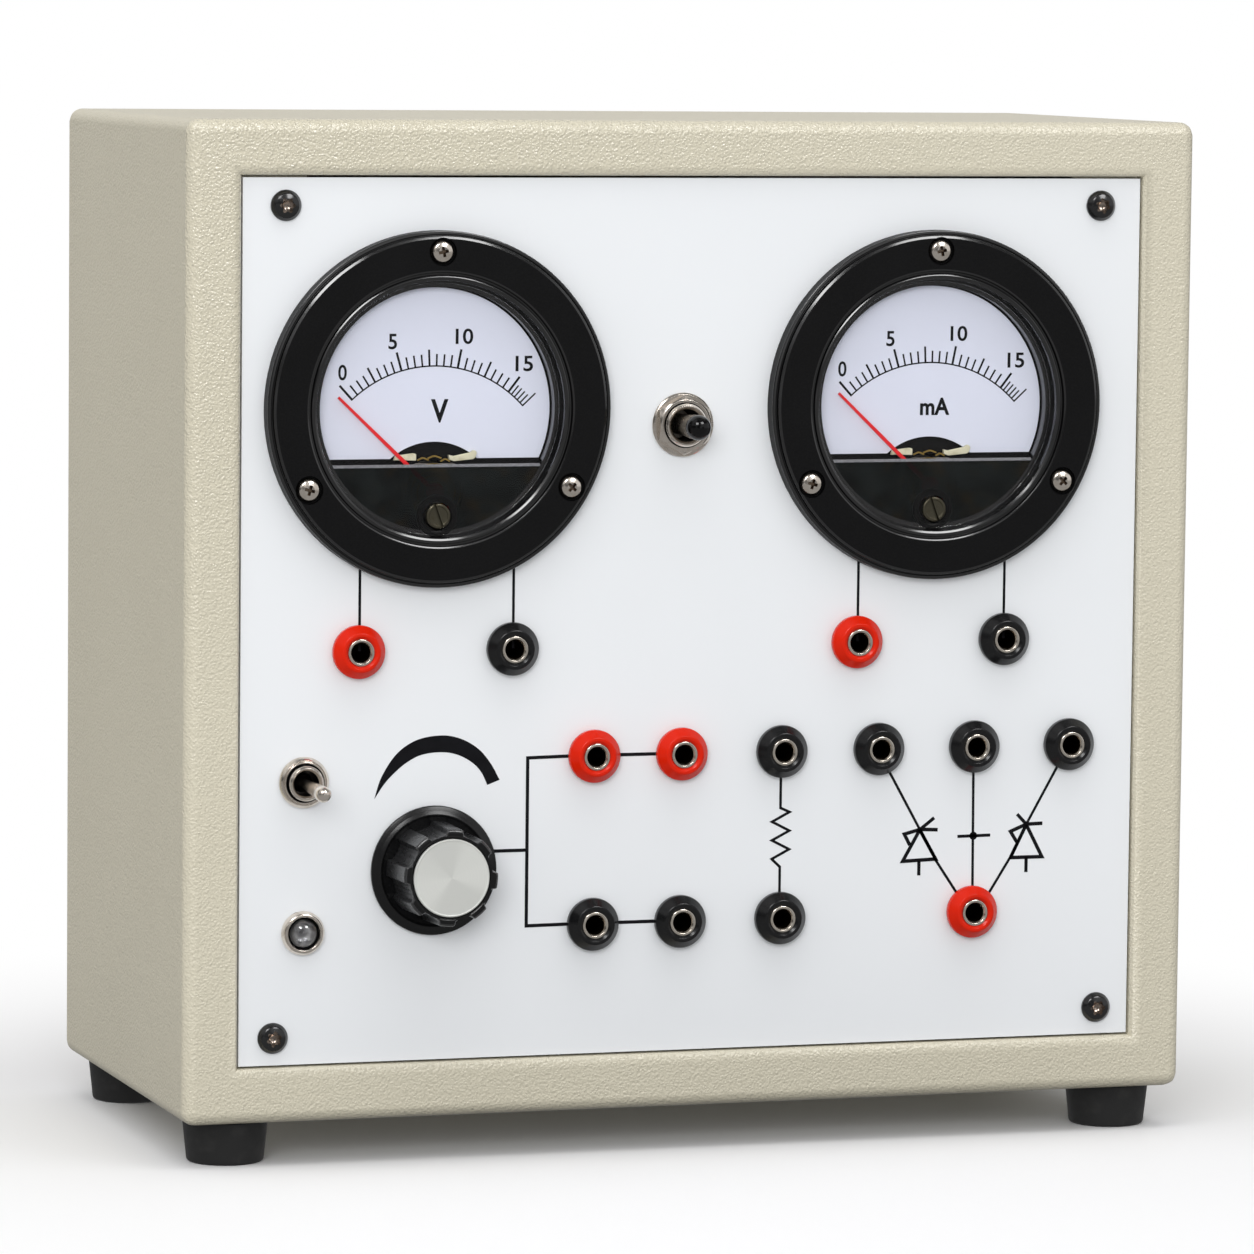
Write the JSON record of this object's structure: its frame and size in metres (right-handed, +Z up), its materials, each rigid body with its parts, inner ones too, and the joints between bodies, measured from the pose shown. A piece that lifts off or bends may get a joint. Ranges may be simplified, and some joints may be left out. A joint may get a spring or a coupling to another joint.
{
  "type": "zener diode trainer",
  "caption": "Bench trainer in a covered wooden case: round volt and milliamp meters, test sockets, output knob and switches on a white panel with printed circuits.",
  "frame": {"origin": "on the ground under the middle of the part's box", "axes": "+X to the right as the user faces the panel, +Y from the panel towards the back, +Z up"},
  "size_m": [0.24, 0.133, 0.235],
  "materials": {
    "covering": "boards under a cream covering with a fine leather grain, satin",
    "panel_white": "white laminate sheet, satin",
    "back_board": "brown hardboard, matt",
    "rubber": "black rubber, matt",
    "meter_black": "black moulding, fine matt face with glossy bevels",
    "glass": "clear window",
    "dial_white": "printed white dial, satin",
    "needle_red": "red paint",
    "brass": "pale brass, lightly polished",
    "nickel": "bright nickel plate",
    "socket_red": "red, polished",
    "socket_black": "black, polished",
    "knob_black": "black, semi-gloss",
    "spun_aluminium": "spun, with fine circular marks",
    "lens_clear": "clear domed lens",
    "core_steel": "varnished core steel",
    "board_green": "green lacquered board"
  },
  "bodies": {
    "case": {"cabinet": "covering", "front_panel": "panel_white", "back_panel": "back_board", "cord_gland": "rubber", "foot_front_left": "rubber", "foot_front_right": "rubber", "foot_rear_left": "rubber", "foot_rear_right": "rubber", "volt_meter_housing": "meter_black", "volt_meter_window": "glass", "volt_meter_dial": "dial_white", "volt_meter_movement": "brass", "milliamp_meter_housing": "meter_black", "milliamp_meter_window": "glass", "milliamp_meter_dial": "dial_white", "milliamp_meter_movement": "brass", "socket_volt_positive": "socket_red", "socket_volt_negative": "socket_black", "socket_milliamp_positive": "socket_red", "socket_milliamp_negative": "socket_black", "socket_output_positive_near": "socket_red", "socket_output_positive_far": "socket_red", "socket_output_negative_near": "socket_black", "socket_output_negative_far": "socket_black", "socket_resistor_upper": "socket_black", "socket_resistor_lower": "socket_black", "socket_zener_left": "socket_black", "socket_zener_middle": "socket_black", "socket_zener_right": "socket_black", "socket_zener_common": "socket_red", "sleeve_volt_positive": "nickel", "sleeve_volt_negative": "nickel", "sleeve_milliamp_positive": "nickel", "sleeve_milliamp_negative": "nickel", "sleeve_output_positive_near": "nickel", "sleeve_output_positive_far": "nickel", "sleeve_output_negative_near": "nickel", "sleeve_output_negative_far": "nickel", "sleeve_resistor_upper": "nickel", "sleeve_resistor_lower": "nickel", "sleeve_zener_left": "nickel", "sleeve_zener_middle": "nickel", "sleeve_zener_right": "nickel", "sleeve_zener_common": "nickel", "potentiometer": "nickel", "toggle_switch": "nickel", "push_switch": "nickel", "lamp_bezel": "nickel", "lamp_lens": "lens_clear", "transformer": "core_steel", "circuit_board": "board_green"},
    "knob": {"knob": "knob_black", "knob_cap": "spun_aluminium", "knob_spindle": "nickel"},
    "toggle": {"toggle_lever": "nickel"},
    "push": {"push_plunger": "knob_black"},
    "volt_pointer": {"volt_meter_needle": "needle_red"},
    "milliamp_pointer": {"milliamp_meter_needle": "needle_red"},
    "volt_zero": {"volt_meter_zero_screw": "nickel"},
    "milliamp_zero": {"milliamp_meter_zero_screw": "nickel"}
  },
  "joints": [
    {"name": "knob_turn", "type": "hinge", "parent": "case", "child": "knob", "pos_m": [-0.0621, -0.04749, 0.0662], "axis": [0, 1, 0], "range_deg": [0, 300]},
    {"name": "toggle_flip", "type": "hinge", "parent": "case", "child": "toggle", "pos_m": [-0.0924, -0.04599, 0.0868], "axis": [-1, 0, 0], "range_deg": [0, 14]},
    {"name": "push_press", "type": "slide", "parent": "case", "child": "push", "axis": [0, 1, 0], "range_m": [0, 0.003], "stiffness_N_per_m": 300, "springref_m": -0.001},
    {"name": "volt_pointer_swing", "type": "hinge", "parent": "case", "child": "volt_pointer", "pos_m": [-0.0621, -0.04749, 0.1515], "axis": [0, 1, 0], "range_deg": [0, 93], "stiffness_Nm_per_rad": 0.00002, "springref_deg": -11.46},
    {"name": "milliamp_pointer_swing", "type": "hinge", "parent": "case", "child": "milliamp_pointer", "pos_m": [0.0564, -0.04749, 0.1515], "axis": [0, 1, 0], "range_deg": [0, 93], "stiffness_Nm_per_rad": 0.00002, "springref_deg": -11.46},
    {"name": "volt_zero_turn", "type": "hinge", "parent": "case", "child": "volt_zero", "pos_m": [-0.0621, -0.04749, 0.1463], "axis": [0, 1, 0], "range_deg": [-90, 90]},
    {"name": "milliamp_zero_turn", "type": "hinge", "parent": "case", "child": "milliamp_zero", "pos_m": [0.0564, -0.04749, 0.1463], "axis": [0, 1, 0], "range_deg": [-90, 90]}
  ]
}
